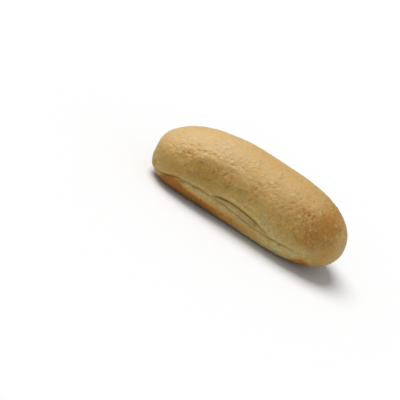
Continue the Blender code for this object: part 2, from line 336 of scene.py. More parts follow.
BACK_BAKED = (
    (0.063, 0.0414, 0.0115, 0.0182, 0.36),
    (-0.052, 0.0340, 0.0140, 0.0140, 0.40),
    (0.030, 0.0300, 0.0160, 0.0080, 0.20),
    (-0.005, 0.0330, 0.0140, 0.0060, -0.16),
)

# ---- Tints of the crust ----
GOLD_LEVEL = 0.0335       # below this level it has a golden tint
GOLD_FADE = 0.0090
# Each place on the front that is more olive: x, level, half length, half height, share
OLIVE_PLACES = (
    (-0.034, 0.0275, 0.0130, 0.0065, 0.90),
    (0.000, 0.0300, 0.0240, 0.0070, 0.50),
    (0.000, 0.0225, 0.0280, 0.0045, 0.45),
)
# And each that is more pink
PEACH_PLACES = (
    (-0.069, 0.0390, 0.0065, 0.0100, 0.80),
    (-0.060, 0.0210, 0.0160, 0.0085, 0.90),
    (-0.040, 0.0345, 0.0100, 0.0040, 0.80),
    (0.062, 0.0240, 0.0140, 0.0070, 0.75),
)

# ---- The pale band along the seam ----
CREAM_REACH = 0.0040      # it is half gone this far above the lip
CREAM_SWELL = 0.0050      # and this much further up in its widest place
CREAM_SWELL_X = 0.028
CREAM_SWELL_HALF = 0.022
CREAM_LEFT = 0.42         # its strength above the lip's line at the left
CREAM_TURN_X = -0.030     # from here on it gains, up to its full strength
CREAM_TURN_RUN = 0.030
CREAM_START_X = -0.060
CREAM_END_X = 0.0770
CREAM_END_RUN = 0.024

# ---- The browned edge of the base ----
RIM_TOP = 0.0099
RIM_LOW = 0.0015
RIM_FADE = 0.0050
RIM_START_X = -0.069
RIM_END_X = 0.034
RIM_RUN = 0.014
RIM_RISE = 0.0024         # how much higher it reaches at the left end
RIM_RISE_X = -0.036
RIM_RISE_RUN = 0.013
RIM_SPOT_X = 0.0595       # it shows once more at the right end
RIM_SPOT_HALF = 0.0100
RIM_SPOT_TOP = 0.0122
RIM_FADING = 0.48         # how much of it is lost towards the right
RIM_FADING_X = -0.034
RIM_FADING_RUN = 0.050
RIM_SEAM_RUN = 0.0016     # in front it ends at the seam, over this height
RIM_BACK_LOW = 0.0045     # at the back its edge goes up and down between these heights
RIM_BACK_TOP = 0.0085
RIM_BACK_WAVE = 0.074
RIM_ORANGE_SHARE = 0.35   # up to this share the browning is orange, and then it turns brown
RIM_FULL_SHARE = 0.72     # from this share on nothing of the pale side shows through
RIM_BLOTCH = 0.45         # how unevenly it is browned

# ---- Pale places: under the seam the crust's own pale colour, and painted light on the strip's lower half under the lip and along the base's edge ----
# Each: x, level, half length, half height, share
PALE_AND_LIT_PLACES = (
    (-0.026, 0.0130, 0.0130, 0.0022, 0.30),
    (0.000, 0.0166, 0.0140, 0.0013, 0.50),
    (0.022, 0.0020, 0.0240, 0.0036, 0.85),
    (0.038, 0.0090, 0.0150, 0.0045, 0.43),
)

# ---- The shade in the seam and in the tear ----
CREASE_HALF_WIDTH = 0.0009
CREASE_SEAM = 0.50
CREASE_TEAR = 0.70
CREASE_UNDER_LIP = 0.24
CREASE_UNDER_REACH = 0.0042
CREASE_BACK = 0.60
CREASE_BACK_HALF_WIDTH = 0.0006
CREASE_END_WIDENING = 1.0  # how much wider it is at the left end
CREASE_END_X = -0.050
CREASE_END_RUN = 0.008
NICK_SHADE = 1100.0       # how strongly a nick's depth darkens it, for each metre
KNOT_SHADE = 350.0        # how strongly a knot's depth darkens it, for each metre

# ---- Colours, as linear red, green and blue ----
# The crust's own, each at its share of browning
BAKE_STOPS = (
    (0.0, (0.450, 0.303, 0.130)),
    (0.30, (0.393, 0.252, 0.086)),
    (0.65, (0.338, 0.206, 0.062)),
    (1.0, (0.245, 0.111, 0.014)),
)
CREAM_DEEP = (0.330, 0.232, 0.071)
CREAM_LIGHT = (0.440, 0.327, 0.120)
# pale crumb under the seam; on the strip and along the base it is painted light
PALE_AND_LIT = (0.480, 0.380, 0.165)
RIM_BROWN = (0.252, 0.094, 0.007)
RIM_ORANGE = (0.425, 0.190, 0.024)
CREASE_SHADE = (0.200, 0.130, 0.030)
# Tints, which multiply what they lie on
WARM_TINT = (1.04, 0.99, 0.88)
COOL_TINT = (0.97, 1.01, 1.08)
GOLD_TINT = (0.975, 0.99, 0.79)
OLIVE_TINT = (0.94, 1.03, 0.96)
PEACH_TINT = (1.03, 0.955, 0.97)
WHITE = (1.0, 1.0, 1.0, 1.0)

# ---- Marks in the crust's colour and skin: their size, detail (octaves of noise) and strength ----
BLOTCH_SIZE = 0.009
BLOTCH_DETAIL = 3.0
BLOTCH = 0.40
MOTTLE_SIZE = 0.0027
MOTTLE_DETAIL = 2.0
MOTTLE = 0.22
SPECK_SIZE = 0.0011
SPECK_DETAIL = 2.0
SPECK = 0.60
SKIN_SIZE = 0.0007
SKIN_DETAIL = 4.0
HUE_SIZE = 0.0085
HUE_DETAIL = 2.0
HUE_WARM_AT = 0.35        # the noise at which the hue is warmest and coolest
HUE_COOL_AT = 0.65
CREAM_DEEP_AT = 0.38      # the noise at which the pale side is deepest and lightest
CREAM_LIGHT_AT = 0.62
NOISE_ROUGHNESS = 0.55
EDGE_FRAY = 6.0
ROUGH_LOW = 0.46
ROUGH_HIGH = 0.64
BUMP_STRENGTH = 0.5
BUMP_DISTANCE = 0.00016
SPECULAR = 0.30
MIX_FACTOR = 0            # socket numbers of a Mix node that mixes colours
MIX_BASE = 6
MIX_COLOUR = 7
MIX_RESULT = 2

# ---- Mesh: rings along the bun, rows round it ----
RINGS = 346
RING_EVENNESS = 0.3       # draws the rings from the ends towards the middle
TOP_ROWS = 166
LIP_ROWS = 16
STRIP_ROWS = 26
BAND_ROWS = 14
RIM_ROWS = 18
BASE_ROWS = 10
BACK_RIM_ROWS = 14
BACK_SEAM_ROWS = 8
BACK_WALL_ROWS = 8
ROWS = (
    TOP_ROWS + LIP_ROWS + STRIP_ROWS + BAND_ROWS + RIM_ROWS + BASE_ROWS
    + BACK_RIM_ROWS + 2 * BACK_SEAM_ROWS + BACK_WALL_ROWS
)
SEAM_MARGIN = 0.0030      # the close rows reach this far above and below a seam
STRIP_ROWS_MIN = 0.0030   # the strip's rows never crowd closer than this in all
BASE_EDGE_MIN = 0.30      # keeps the base rows apart near the ends, share of half width
WALL_REACH = 0.99         # the rows of the walls stay inside this share of the section's height
LEAST_SIZE = 1e-9         # these keep divisions safe where the ends and the lip run out to nothing
LEAST_HEIGHT = 1e-6

# ---- Camera, as in the photograph: degrees round the bun, above its base plane, and rolled ----
CAMERA_AZIMUTH = 12.11
CAMERA_ELEVATION = 22.71
CAMERA_ROLL = 28.38
CAMERA_DISTANCE = 0.62
BUN_RIGHT_OF_MIDDLE = 0.03898
BUN_ABOVE_MIDDLE = 0.00743
SENSOR = 36.0             # millimetres, as Blender wants them
LENS = 75.55

# ---- Plain soft studio ----
# Each light: its name, direction, width in degrees as seen from the bun, and strength
LIGHTS = (
    ("key", (-0.42, 0.15, 0.90), 40.0, 3.8),
    ("glow", (0.85, -0.50, 0.15), 90.0, 0.50),
    ("fill", (0.15, -0.97, 0.15), 60.0, 0.45),
)
STUDIO_STRENGTH = 0.48
FLOOR_REACH = 6.0
FLOOR_DROP = 0.0002       # keeps the floor and the base apart
FLOOR_COLOUR = (0.61, 0.61, 0.61, 1.0)
FLOOR_ROUGHNESS = 0.9


def smooth(t):
    """Ease from 0 to 1."""
    t = np.clip(t, 0.0, 1.0)
    return t * t * (3.0 - 2.0 * t)


def end_profile(u, left, right):
    """Fall from 1 to 0 at both ends."""
    power = np.where(u < 0.0, left, right)
    return np.sqrt(np.clip(1.0 - np.abs(u) ** power, 0.0, 1.0))


def half_width(u):
    return WIDTH / 2 * end_profile(u, PLAN_LEFT, PLAN_RIGHT)


def rise(u):
    """Height of the crown above the waist."""
    arch = 1.0 - ARCH * (u - ARCH_AT) ** 2
    return (HEIGHT - WAIST) * end_profile(u, CROWN_LEFT, CROWN_RIGHT) * arch


def depth(u):
    """Depth of the round underside below the waist, before the flat base cuts it."""
    return (WAIST + BASE_CUT) * end_profile(u, UNDER_LEFT, UNDER_RIGHT)


def sway(u):
    return BEND * (1.0 - u ** 2)


def section_point(u, angle):
    """Point of the smooth bun, at an angle of 0 at the back, 90 on top, 180 in front."""
    across = np.cos(angle)
    up = np.sin(angle)
    reach = np.where(up > 0.0, rise(u), depth(u))
    power = np.where(up > 0.0, SECTION_TOP, SECTION_BASE)
    wide = np.abs(across) / np.maximum(half_width(u), LEAST_SIZE)
    high = np.abs(up) / np.maximum(reach, LEAST_SIZE)
    radius = (wide ** power + high ** power) ** (-1.0 / power)
    y = sway(u) + radius * across
    z = np.maximum(WAIST + radius * up, 0.0)
    return y, z


def angle_at(u, level, side):
    """Angle of the wall at a level, side -1 in front and +1 at the back."""
    above = level > WAIST
    full = np.where(above, HEIGHT - WAIST, WAIST + BASE_CUT)
    here = np.where(above, rise(u), depth(u))
    power = np.where(above, SECTION_TOP, SECTION_BASE)
    share = np.clip((level - WAIST) / full, -WALL_REACH, WALL_REACH)
    y = side * half_width(u) * (1.0 - np.abs(share) ** power) ** (1.0 / power)
    angle = np.arctan2(share * here, y)
    return np.where(angle < 0.0, angle + 2.0 * math.pi, angle)


def base_edge_angle(u, side):
    """Angle at which the wall turns into the flat base."""
    share = np.clip(WAIST / np.maximum(depth(u), LEAST_SIZE), 0.0, 1.0)
    edge = np.maximum((1.0 - share ** SECTION_BASE) ** (1.0 / SECTION_BASE), BASE_EDGE_MIN)
    low = np.maximum(np.minimum(WAIST, depth(u)), LEAST_SIZE)
    wide = np.maximum(edge * half_width(u), LEAST_SIZE)
    return np.arctan2(-low, side * wide) + 2.0 * math.pi


def seam_level(x):
    wave = SEAM_WAVE * np.cos(2.0 * math.pi * (x - SEAM_CREST_X) / SEAM_WAVE_LENGTH)
    drop = SEAM_DROP * smooth((SEAM_DROP_X - x) / SEAM_DROP_RUN)
    fall = SEAM_FALL * smooth((x - SEAM_FALL_X) / SEAM_FALL_RUN)
    return SEAM_HEIGHT + wave - drop - fall


def lip_share(x):
    """0 outside the torn lip, 1 at its middle."""
    t = np.clip((x - LIP_START_X) / (LIP_END_X - LIP_START_X), 0.0, 1.0)
    return np.sin(math.pi * t) ** LIP_ROUNDNESS


def lip_level(x):
    return seam_level(x) + LIP_RISE * lip_share(x)


def back_seam_level(x):
    """The line along which the rows crowd at the back."""
    turn = 2.0 * math.pi * (x - BACK_SEAM_CREST_X) / BACK_SEAM_WAVE_LENGTH
    return BACK_SEAM_HEIGHT + BACK_SEAM_WAVE * np.cos(turn)


def stretch(x, start, end):
    """1 along a seam, easing to 0 at its two ends."""
    return smooth((x - start) / SEAM_FADE) * smooth((end - x) / SEAM_FADE)


def groove(offset, half):
    return np.exp(-(offset / half) ** 2)


def row_angle(u, row):
    """Angle of a row: the rows crowd along the two seams and follow them."""
    x = LENGTH / 2 * u
    strip_top = seam_level(x) + np.maximum(LIP_RISE * lip_share(x), STRIP_ROWS_MIN)
    back = back_seam_level(x)
    turn = np.zeros_like(u)
    stretches = (
        (TOP_ROWS, angle_at(u, strip_top + SEAM_MARGIN, -1)),
        (LIP_ROWS, angle_at(u, strip_top, -1)),
        (STRIP_ROWS, angle_at(u, seam_level(x), -1)),
        (BAND_ROWS, angle_at(u, seam_level(x) - SEAM_MARGIN, -1)),
        (RIM_ROWS, base_edge_angle(u, -1)),
        (BASE_ROWS, base_edge_angle(u, 1)),
        (BACK_RIM_ROWS, angle_at(u, back - SEAM_MARGIN, 1)),
        (BACK_SEAM_ROWS, angle_at(u, back, 1)),
        (BACK_SEAM_ROWS, angle_at(u, back + SEAM_MARGIN, 1)),
        (BACK_WALL_ROWS, np.full_like(u, 2.0 * math.pi)),
    )
    angle = np.zeros_like(u)
    first = 0
    for rows, end_angle in stretches:
        angle += (end_angle - turn) * np.clip((row - first) / rows, 0.0, 1.0)
        turn = end_angle
        first += rows
    return angle


def full_level(u, z):
    """Height that a point would have in the full middle section."""
    above = z > WAIST
    full = np.where(above, HEIGHT - WAIST, WAIST + BASE_CUT)
    here = np.where(above, rise(u), depth(u))
    return WAIST + (z - WAIST) * full / np.maximum(here, LEAST_HEIGHT)


def seam_wander(x):
    return SEAM_WANDER * np.sin(2.0 * math.pi * x / SEAM_WANDER_LENGTH)


def seam_line(x):
    """The middle of the seam's groove: it wanders, and dips where the lip parts from it."""
    return seam_level(x) + seam_wander(x) - SEAM_NICK * groove(x - SEAM_NICK_X, SEAM_NICK_HALF)


def seam_strength(x):
    turn = 2.0 * math.pi * (x - SEAM_DEEP_X) / SEAM_UNEVEN_LENGTH
    return stretch(x, SEAM_START_X, SEAM_END_X) * (1.0 - SEAM_UNEVEN * (0.5 - 0.5 * np.cos(turn)))


def tear_strength(x):
    return smooth((x - LIP_START_X) / TEAR_START_RUN) * smooth((TEAR_END_X - x) / TEAR_END_RUN)


def nick_depth(x, level):
    total = np.zeros_like(x)
    for nick_x, nick_level, lean, half_length, half_wide, deep in NICKS:
        lean = math.radians(lean)
        along = (x - nick_x) * math.sin(lean) + (level - nick_level) * math.cos(lean)
        across = (x - nick_x) * math.cos(lean) - (level - nick_level) * math.sin(lean)
        total += deep * groove(across, half_wide) * np.exp(-(along / half_length) ** NICK_BLUNTNESS)
    return total


def front_seam_relief(x, level):
    """The open seam, the torn lip above it, the strip between them and the band below."""
    above_seam = level - seam_line(x)
    above_lip = level - lip_level(x)
    along = stretch(x, SEAM_START_X, SEAM_END_X)
    lip = lip_share(x)
    seam = -SEAM_DEPTH * groove(above_seam, SEAM_HALF_WIDTH) * seam_strength(x)
    band = -BAND_RECESS * smooth(1.0 + above_seam / BAND_HEIGHT) * (above_seam < 0.0)
    tear = -LIP_DEPTH * groove(above_lip, LIP_HALF_WIDTH) * tear_strength(x)
    strip_share = np.clip(above_seam / np.maximum(LIP_RISE * lip, LEAST_HEIGHT), 0.0, 1.0)
    strip = -STRIP_RECESS * lip * strip_share * smooth(0.5 - above_lip / STEP_HEIGHT)
    bulge = LIP_BULGE * np.exp(-np.abs(above_lip) / LIP_BULGE_HEIGHT) * (above_lip > 0.0)
    seam_ridge = RIDGE_HEIGHT * groove(above_seam - RIDGE_OFFSET, RIDGE_HALF_WIDTH)
    lip_ridge = RIDGE_HEIGHT * groove(above_lip - RIDGE_OFFSET, RIDGE_HALF_WIDTH) * lip
    wall = along * (band + bulge + seam_ridge)
    return wall + seam + tear + strip + lip_ridge - nick_depth(x, level)


def back_seam_share(x, level, half):
    """1 in the middle of the back wall's seam, easing to 0 away from its strokes."""
    wander = BACK_SEAM_WANDER * np.sin(2.0 * math.pi * x / BACK_SEAM_WANDER_LENGTH)
    wander += seam_wander(x)
    share = np.zeros_like(x)
    for start, start_level, end, end_level in BACK_STROKES:
        line = start_level + (end_level - start_level) * (x - start) / (end - start) + wander
        share = np.maximum(share, groove(level - line, half) * stretch(x, start, end))
    return share


def back_seam_relief(x, level):
    ridge = RIDGE_HEIGHT * back_seam_share(x, level - RIDGE_OFFSET, RIDGE_HALF_WIDTH)
    return ridge - BACK_SEAM_DEPTH * back_seam_share(x, level, BACK_SEAM_HALF_WIDTH)


def fold_share(x, level):
    """1 just under the edge of the top crust, 0 above the edge, easing to 0 further down."""
    turned = np.clip((FOLD_TURN_X - x) / FOLD_REACH, 0.0, FOLD_REACHES)
    edge = FOLD_LEVEL - FOLD_FALL * turned ** FOLD_FALL_POWER
    edge += FOLD_WANDER * np.sin(2.0 * math.pi * x / FOLD_WANDER_LENGTH)
    below = edge - level
    along = smooth((x - FOLD_START_X) / FOLD_FADE) * smooth((FOLD_END_X - x) / FOLD_FADE)
    return smooth(below / FOLD_RUN) * np.exp(-(below / FOLD_RECOVERY) ** 2) * along


def patches(x, level, places):
    """The sum of soft round places, each with its own amount in the middle."""
    total = np.zeros_like(x)
    for place_x, place_level, half_length, half_height, amount in places:
        away = ((x - place_x) / half_length) ** 2 + ((level - place_level) / half_height) ** 2
        total += amount * np.exp(-away)
    return total


def knot_relief(points):
    total = np.zeros(len(points))
    for x, y, z, half_wide, half_high, lift, edge in KNOTS:
        offset = (points - np.array((x, y, z))) / np.array((half_wide, half_wide, half_high))
        total += lift * np.exp(-np.linalg.norm(offset, axis=1) ** edge)
    return total


def noise_at(points, length):
    return np.array([noise.noise(point) for point in (points / length).tolist()])


def swell_relief(points):
    return SWELL * noise_at(points, SWELL_LENGTH) + RIPPLE * noise_at(points, RIPPLE_LENGTH)


def pebble_relief(points, level):
    """Fine bumps, stronger in some places, and there in uneven patches."""
    grey = 0.5 + PEBBLE_PATCH_CONTRAST * noise_at(points, PEBBLE_PATCH_LENGTH)
    uneven = PEBBLE_LEAST + np.clip(grey, 0.0, 1.0)
    where = (PEBBLE_BASE + patches(points[:, 0], level, PEBBLED)) * uneven
    return where * (PEBBLE * noise_at(points, PEBBLE_LENGTH) + GRAIN * noise_at(points, GRAIN_LENGTH))


def wrinkle_relief(u, points, level):
    """Short slanting creases in the skin, in a frame unrolled from the crust."""
    x, y, z = points.T
    arc = ARC_RADIUS * np.arctan2(sway(u) - y, z - WAIST)
    total = np.zeros(len(points))
    for slant, places in WRINKLED:
        lean = math.radians(slant)
        along = (x * math.cos(lean) - arc * math.sin(lean)) / WRINKLE_LENGTH
        across = (x * math.sin(lean) + arc * math.cos(lean)) / WRINKLE_WIDTH
        grey = noise_at(np.column_stack((along, across, np.full_like(along, slant))), 1.0)
        total -= WRINKLE * patches(x, level, places) * np.abs(grey)
    return total


def spot_at(points, u, angle, radius):
    """A round spot of height 1 at one place on the crust."""
    centre_y, centre_z = section_point(u, angle)
    away = ((points - np.array((LENGTH / 2 * u, centre_y, centre_z))) ** 2).sum(axis=1)
    return np.exp(-away / radius ** 2)


def single_spot_relief(points):
    total = np.zeros(len(points))
    for x, turn, radius, height in SINGLE_SPOTS:
        total += height * spot_at(points, 2.0 * x / LENGTH, math.radians(turn), radius)
    return total


def strewn_spot_relief(points):
    """Small round blisters and pits at seeded places."""
    draw = np.random.RandomState(STREWN_SEED)
    spot_u = draw.uniform(STREWN_START, STREWN_END, STREWN_TRIES)
    turn = np.radians(draw.uniform(STREWN_LOW_TURN, STREWN_HIGH_TURN, STREWN_TRIES))
    behind = draw.uniform(0.0, 1.0, STREWN_TRIES) < STREWN_BEHIND
    radius = draw.uniform(SPOT_RADIUS_MIN, SPOT_RADIUS_MAX, STREWN_TRIES)
    size = draw.uniform(STREWN_SMALLEST, 1.0, STREWN_TRIES)
    chance = draw.uniform(0.0, 1.0, STREWN_TRIES)
    raised = draw.uniform(0.0, 1.0, STREWN_TRIES) < STREWN_RAISED
    angle = np.where(behind, math.pi - turn, turn)
    spot_level = full_level(spot_u, section_point(spot_u, angle)[1])
    kept = chance < STREWN_CHANCE + patches(LENGTH / 2 * spot_u, spot_level, PEBBLED)
    height = size * np.where(raised, BLISTER_HEIGHT, -PIT_DEPTH)
    total = np.zeros(len(points))
    for index in np.nonzero(kept)[0]:
        total += height[index] * spot_at(points, spot_u[index], angle[index], radius[index])
    return total


def relief(u, points):
    """How far each point moves out along its normal, and the painted highlight and shade of its small
    relief: lighter where it stands out, browner where it lies low.
    """
    x, y, z = points.T
    level = full_level(u, z)
    fold = -FOLD_DEPTH * fold_share(x, level)
    front = front_seam_relief(x, level) + fold - patches(x, z, FRONT_DENTS)
    back = back_seam_relief(x, level) - patches(x, z, BACK_DENTS)
    side = np.where(y < sway(u), front, back)
    small = pebble_relief(points, level) + wrinkle_relief(u, points, level)
    spots = single_spot_relief(points) + strewn_spot_relief(points)
    calm = smooth(z / CALM_HEIGHT)
    total = (side + knot_relief(points) + swell_relief(points) + small + spots) * calm
    # painted highlight on the blisters, painted shade in the pits
    spot_light_and_shade = np.where(spots > 0.0, BLISTER_HIGHLIGHT, PIT_SHADE)
    return total, (PEBBLE_LIGHT_AND_SHADE * small + spot_light_and_shade * spots) / PEBBLE


def lip_sag(u, points):
    """How far down each point hangs, just above the torn lip on the front."""
    x, y, z = points.T
    above_lip = full_level(u, z) - lip_level(x)
    hang = LIP_SAG * tear_strength(x) * np.exp(-above_lip / LIP_SAG_REACH)
    return np.where((above_lip > -LIP_SAG_MARGIN) & (y < sway(u)), hang, 0.0)


def gold_share(level):
    return smooth((GOLD_LEVEL - level) / GOLD_FADE + 0.5)


def bake_and_fold_shade_share(x, level, soft_front):
    """How brown the crust is: 0 pale gold, 1 brown, with painted shade under the fold's edge."""
    belly = smooth((BELLY_LEVEL - level) / BELLY_FADE + 0.5)
    belly *= smooth((x - BELLY_START_X) / BELLY_START_RUN)
    top = BAKE_LEFT + (BAKE_RIGHT - BAKE_LEFT) * smooth((x - BAKE_TURN_X) / BAKE_TURN_RUN)
    # the fold adds painted shade under its edge to the browning
    front_spots = patches(x, level, FRONT_BAKED) + FOLD_BAKE_AND_SHADE * fold_share(x, level)
    spots = soft_front * front_spots + (1.0 - soft_front) * patches(x, level, BACK_BAKED)
    share = top + (BAKE_BELLY - top) * belly + spots
    tip = smooth((x - TIP_X) / TIP_RUN)
    return np.clip(share + (BAKE_TIP - share) * tip, 0.0, 1.0)


def cream_share(x, level, front):
    """How much of the pale, hardly baked side shows: a band along the seam."""
    top = np.where(front, lip_level(x), back_seam_level(x))
    reach = CREAM_REACH + CREAM_SWELL * np.exp(-((x - CREAM_SWELL_X) / CREAM_SWELL_HALF) ** 2)
    share = 1.0 - smooth((level - top) / (2.0 * reach))
    upper = CREAM_LEFT + (1.0 - CREAM_LEFT) * smooth((x - CREAM_TURN_X) / CREAM_TURN_RUN)
    share *= np.where(level > top, upper, 1.0)
    ends = smooth((x - CREAM_START_X) / CREAM_END_RUN) * smooth((CREAM_END_X - x) / CREAM_END_RUN)
    return share * ends


def rim_share(x, z, soft_front):
    """How much of the browned edge of the base shows."""
    spot = np.exp(-((x - RIM_SPOT_X) / RIM_SPOT_HALF) ** 2)
    reach = smooth((x - RIM_START_X) / RIM_RUN) * smooth((RIM_END_X - x) / RIM_RUN)
    highest = RIM_TOP + RIM_RISE * smooth((RIM_RISE_X - x) / RIM_RISE_RUN)
    front_top = RIM_LOW + (highest - RIM_LOW) * reach + (RIM_SPOT_TOP - RIM_LOW) * spot
    uneven = 0.5 + 0.5 * np.sin(2.0 * math.pi * x / RIM_BACK_WAVE)
    back_top = RIM_BACK_LOW + (RIM_BACK_TOP - RIM_BACK_LOW) * uneven
    top = soft_front * front_top + (1.0 - soft_front) * back_top
    fading = RIM_FADING * smooth((x - RIM_FADING_X) / RIM_FADING_RUN) * (1.0 - spot)
    under_seam = 1.0 - soft_front * smooth((z - seam_level(x)) / RIM_SEAM_RUN)
    return under_seam * (1.0 - fading) * smooth((top - z) / RIM_FADE + 0.5)


def crease_share(x, level, front):
    """The shade in the seam and in the tear, and a fainter one under the lip."""
    widening = CREASE_END_WIDENING * smooth((CREASE_END_X - x) / CREASE_END_RUN)
    wide = CREASE_HALF_WIDTH * (1.0 + widening)
    seam = CREASE_SEAM * groove(level - seam_line(x), wide) * seam_strength(x)
    below_lip = lip_level(x) - level
    tear = CREASE_TEAR * groove(below_lip - CREASE_HALF_WIDTH, CREASE_HALF_WIDTH)
    under = CREASE_UNDER_LIP * smooth(1.0 - below_lip / CREASE_UNDER_REACH) * (below_lip > 0.0)
    torn = np.maximum(tear, under) * tear_strength(x) + NICK_SHADE * nick_depth(x, level)
    back = CREASE_BACK * back_seam_share(x, level, CREASE_BACK_HALF_WIDTH)
    return np.where(front, np.maximum(seam, torn), back)


def add_node(tree, kind, settings=(), inputs=(), links=()):
    """One shader node: settings are its properties, inputs its fixed values, links what feeds it."""
    node = tree.nodes.new(kind)
    for name, value in settings:
        setattr(node, name, value)
    for name, value in inputs:
        node.inputs[name].default_value = value
    for name, socket in links:
        tree.links.new(socket, node.inputs[name])
    return node


def share_socket(tree, name):
    return add_node(tree, "ShaderNodeAttribute", [("attribute_name", name)]).outputs["Fac"]


def noise_socket(tree, place, size, detail):
    """Grey noise with marks about as long as size, in metres."""
    inputs = [("Scale", 1.0 / size), ("Detail", detail), ("Roughness", NOISE_ROUGHNESS)]
    return add_node(tree, "ShaderNodeTexNoise", (), inputs, [("Vector", place)]).outputs["Fac"]


def math_socket(tree, operation, first, second, clamp=False):
    node = add_node(tree, "ShaderNodeMath", [("operation", operation), ("use_clamp", clamp)])
    for index, value in enumerate((first, second)):
        if isinstance(value, float):
            node.inputs[index].default_value = value
        else:
            tree.links.new(value, node.inputs[index])
    return node.outputs["Value"]


def wobble_socket(tree, share, grey, amount):
    """The share, moved up and down by the noise."""
    offset = math_socket(tree, "MULTIPLY", math_socket(tree, "SUBTRACT", grey, 0.5), amount)
    return math_socket(tree, "ADD", share, offset, True)


def frayed_socket(tree, name, grey):
    """A share whose edge is frayed by the noise: it moves only where the share is neither 0 nor 1."""
    share = share_socket(tree, name)
    edge = math_socket(tree, "MULTIPLY", share, math_socket(tree, "SUBTRACT", 1.0, share))
    offset = math_socket(tree, "MULTIPLY", math_socket(tree, "SUBTRACT", grey, 0.5), edge)
    return math_socket(tree, "ADD", share, math_socket(tree, "MULTIPLY", offset, EDGE_FRAY), True)


def mix_socket(tree, blend, factor, base, colour):
    """The base colour blended with another: each is a socket, or a plain value."""
    node = add_node(tree, "ShaderNodeMix", [("data_type", "RGBA"), ("blend_type", blend)])
    values = ((MIX_FACTOR, factor), (MIX_BASE, base), (MIX_COLOUR, colour))
    for index, value in values:
        if isinstance(value, bpy.types.NodeSocket):
            tree.links.new(value, node.inputs[index])
        elif isinstance(value, tuple):
            node.inputs[index].default_value = (*value, 1.0)
        else:
            node.inputs[index].default_value = value
    return node.outputs[MIX_RESULT]


def ramp_socket(tree, factor, stops):
    """The colours of the stops, each at its place, with even passages between them."""
    node = add_node(tree, "ShaderNodeValToRGB", (), (), [("Fac", factor)])
    elements = node.color_ramp.elements
    while len(elements) < len(stops):
        elements.new(0.5)
    for element, (place, colour) in zip(elements, stops):
        element.position = place
        element.color = (*colour, 1.0)
    return node.outputs["Color"]


def baked_and_shaded_colour(tree, blotch, mottle, speck):
    """The crust from pale gold to brown, with painted light and shade on its small relief and under
    the fold, and with its tints.
    """
    bake_and_shading = share_socket(tree, "bake_and_shading")
    for grey, amount in ((blotch, BLOTCH), (mottle, MOTTLE), (speck, SPECK)):
        bake_and_shading = wobble_socket(tree, bake_and_shading, grey, amount)
    colour = ramp_socket(tree, bake_and_shading, BAKE_STOPS)
    for name, tint in (("gold", GOLD_TINT), ("olive", OLIVE_TINT), ("peach", PEACH_TINT)):
        colour = mix_socket(tree, "MULTIPLY", share_socket(tree, name), colour, tint)
    return colour


def crust_colour(tree, place, mottle, speck):
    """The baked crust, and over it the pale side, the base's browned edge, pale places with painted
    light, and painted shade.
    """
    blotch = noise_socket(tree, place, BLOTCH_SIZE, BLOTCH_DETAIL)
    colour = baked_and_shaded_colour(tree, blotch, mottle, speck)
    marks = math_socket(tree, "MULTIPLY", math_socket(tree, "ADD", mottle, speck), 0.5)
    cream = ramp_socket(tree, marks, [(CREAM_DEEP_AT, CREAM_DEEP), (CREAM_LIGHT_AT, CREAM_LIGHT)])
    colour = mix_socket(tree, "MIX", frayed_socket(tree, "cream", mottle), colour, cream)
    rim = frayed_socket(tree, "rim", mottle)
    browning = wobble_socket(tree, rim, blotch, RIM_BLOTCH)
    browned = ramp_socket(tree, browning, [(RIM_ORANGE_SHARE, RIM_ORANGE), (1.0, RIM_BROWN)])
    rim = math_socket(tree, "DIVIDE", rim, RIM_FULL_SHARE, True)
    colour = mix_socket(tree, "MIX", rim, colour, browned)
    # pale places, with painted light on the strip and along the base
    colour = mix_socket(tree, "MIX", frayed_socket(tree, "pale_and_lit", mottle), colour, PALE_AND_LIT)
    colour = mix_socket(tree, "MIX", share_socket(tree, "crease"), colour, CREASE_SHADE)
    hue = noise_socket(tree, place, HUE_SIZE, HUE_DETAIL)
    tint = ramp_socket(tree, hue, [(HUE_WARM_AT, WARM_TINT), (HUE_COOL_AT, COOL_TINT)])
    return mix_socket(tree, "MULTIPLY", 1.0, colour, tint)


def make_crust_material():
    material = bpy.data.materials.new("crust_finish")
    material.use_nodes = True
    tree = material.node_tree
    shader = tree.nodes["Principled BSDF"]
    place = add_node(tree, "ShaderNodeTexCoord").outputs["Object"]
    mottle = noise_socket(tree, place, MOTTLE_SIZE, MOTTLE_DETAIL)
    speck = noise_socket(tree, place, SPECK_SIZE, SPECK_DETAIL)
    skin = noise_socket(tree, place, SKIN_SIZE, SKIN_DETAIL)
    colour = crust_colour(tree, place, mottle, speck)
    limits = [("To Min", ROUGH_LOW), ("To Max", ROUGH_HIGH)]
    rough = add_node(tree, "ShaderNodeMapRange", (), limits, [("Value", skin)])
    grain = [("Height", math_socket(tree, "ADD", skin, speck))]
    strength = [("Strength", BUMP_STRENGTH), ("Distance", BUMP_DISTANCE)]
    bump = add_node(tree, "ShaderNodeBump", (), strength, grain)
    tree.links.new(colour, shader.inputs["Base Color"])
    tree.links.new(rough.outputs["Result"], shader.inputs["Roughness"])
    tree.links.new(bump.outputs["Normal"], shader.inputs["Normal"])
    shader.inputs["Specular IOR Level"].default_value = SPECULAR
    return material


def vertex_vectors(mesh, name):
    """A vector of each vertex, such as its place or its normal."""
    values = np.empty(len(mesh.vertices) * 3)
    mesh.vertices.foreach_get(name, values)
    return values.reshape(-1, 3)


def place_vertices(mesh, points):
    mesh.vertices.foreach_set("co", points.ravel())
    mesh.update()


